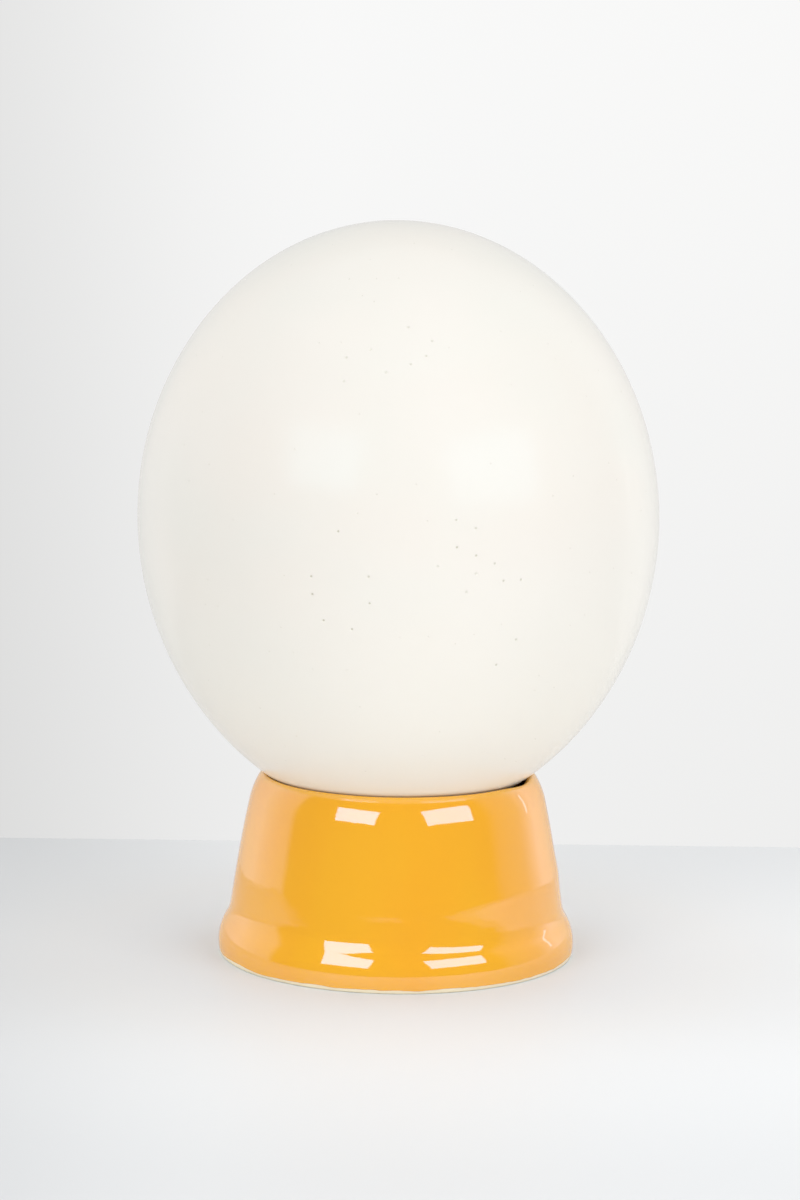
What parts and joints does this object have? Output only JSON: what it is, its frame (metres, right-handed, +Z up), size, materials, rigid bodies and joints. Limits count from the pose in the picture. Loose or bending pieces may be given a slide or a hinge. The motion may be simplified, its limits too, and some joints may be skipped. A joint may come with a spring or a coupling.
{
  "type": "ostrich egg",
  "caption": "Cream ostrich egg with a pitted satin shell, resting upright in the mouth of a flared ring stand of orange glazed ceramic with a rounded lip and foot flange.",
  "frame": {"origin": "centre of the stand's foot ring, on the surface it stands on", "axes": "+Z up along the stand's axis and the egg's length; -Y towards the viewer, the egg leaning slightly towards -X"},
  "size_m": [0.1309, 0.1308, 0.1854],
  "materials": {
    "eggshell": "satin",
    "orange_glaze": "gloss"
  },
  "bodies": {
    "root": {"ostrich_egg": "eggshell", "egg_stand": "orange_glaze"}
  },
  "joints": []
}
